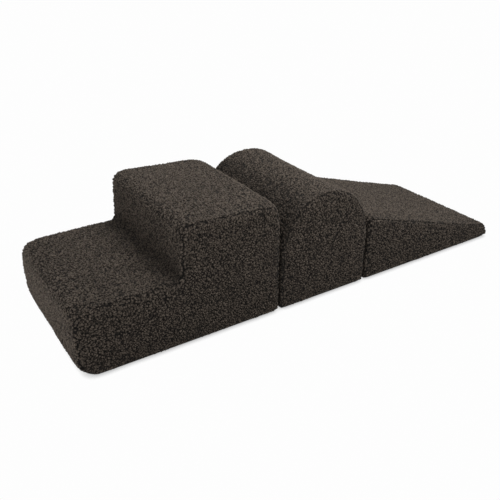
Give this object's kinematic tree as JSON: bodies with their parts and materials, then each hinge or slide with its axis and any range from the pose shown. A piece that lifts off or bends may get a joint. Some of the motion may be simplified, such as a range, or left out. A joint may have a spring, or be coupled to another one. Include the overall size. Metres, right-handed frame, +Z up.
{
  "type": "soft play foam climber",
  "caption": "Free-standing soft play climber of foam blocks in curly fabric covers: a low and a high step, a round-topped arch and a ramp, in one straight row.",
  "frame": {"origin": "on the floor, under the middle of the row of blocks", "axes": "+X along the row from the low step towards the nose of the ramp, +Y from the near side to the side with the zips, +Z up"},
  "size_m": [1.4982, 0.456, 0.3519],
  "materials": {
    "boucle_fabric": "thick curly pile, dark charcoal brown",
    "base_fabric": "plain woven, matte",
    "foam": "open-cell foam",
    "zip_tape": "woven, matte",
    "zip_coil": "satin",
    "zip_metal": "dark coated metal, satin"
  },
  "bodies": {
    "steps": {"steps_lower_foam": "foam", "steps_upper_foam": "foam", "steps_near_side_panel": "boucle_fabric", "steps_far_side_panel": "boucle_fabric", "steps_front_strip": "boucle_fabric", "steps_rear_strip": "boucle_fabric", "steps_base_panel": "base_fabric", "steps_zip_upper_tape": "zip_tape", "steps_zip_lower_tape": "zip_tape", "steps_zip_upper_coil": "zip_coil", "steps_zip_lower_coil": "zip_coil", "steps_zip_start_stop": "zip_metal", "steps_zip_end_stop": "zip_metal"},
    "steps_slider": {"steps_zip_slider": "zip_metal"},
    "steps_pull": {"steps_zip_pull": "zip_metal"},
    "arch": {"arch_foam": "foam", "arch_near_side_panel": "boucle_fabric", "arch_far_side_panel": "boucle_fabric", "arch_top_strip": "boucle_fabric", "arch_base_panel": "base_fabric", "arch_zip_upper_tape": "zip_tape", "arch_zip_lower_tape": "zip_tape", "arch_zip_upper_coil": "zip_coil", "arch_zip_lower_coil": "zip_coil", "arch_zip_start_stop": "zip_metal", "arch_zip_end_stop": "zip_metal"},
    "arch_slider": {"arch_zip_slider": "zip_metal"},
    "arch_pull": {"arch_zip_pull": "zip_metal"},
    "ramp": {"ramp_foam": "foam", "ramp_near_side_panel": "boucle_fabric", "ramp_far_side_panel": "boucle_fabric", "ramp_top_strip": "boucle_fabric", "ramp_base_panel": "base_fabric", "ramp_zip_upper_tape": "zip_tape", "ramp_zip_lower_tape": "zip_tape", "ramp_zip_upper_coil": "zip_coil", "ramp_zip_lower_coil": "zip_coil", "ramp_zip_start_stop": "zip_metal", "ramp_zip_end_stop": "zip_metal"},
    "ramp_slider": {"ramp_zip_slider": "zip_metal"},
    "ramp_pull": {"ramp_zip_pull": "zip_metal"}
  },
  "joints": [
    {"name": "arch_apart", "type": "slide", "parent": "steps", "child": "arch", "axis": [1, 0, 0], "range_m": [0, 0.3]},
    {"name": "ramp_apart", "type": "slide", "parent": "arch", "child": "ramp", "axis": [1, 0, 0], "range_m": [0, 0.3]},
    {"name": "steps_zip_run", "type": "slide", "parent": "steps", "child": "steps_slider", "axis": [1, 0, 0], "range_m": [0, 0.437]},
    {"name": "arch_zip_run", "type": "slide", "parent": "arch", "child": "arch_slider", "axis": [1, 0, 0], "range_m": [0, 0.1685]},
    {"name": "ramp_zip_run", "type": "slide", "parent": "ramp", "child": "ramp_slider", "axis": [1, 0, 0], "range_m": [0, 0.387]},
    {"name": "steps_pull_turn", "type": "hinge", "parent": "steps_slider", "child": "steps_pull", "pos_m": [-0.66375, 0.22085, 0.0214], "axis": [0, 0, 1], "range_deg": [0, 180]},
    {"name": "arch_pull_turn", "type": "hinge", "parent": "arch_slider", "child": "arch_pull", "pos_m": [-0.07545, 0.22085, 0.0214], "axis": [0, 0, 1], "range_deg": [0, 180]},
    {"name": "ramp_pull_turn", "type": "hinge", "parent": "ramp_slider", "child": "ramp_pull", "pos_m": [0.24435, 0.22085, 0.0214], "axis": [0, 0, 1], "range_deg": [0, 180]}
  ]
}
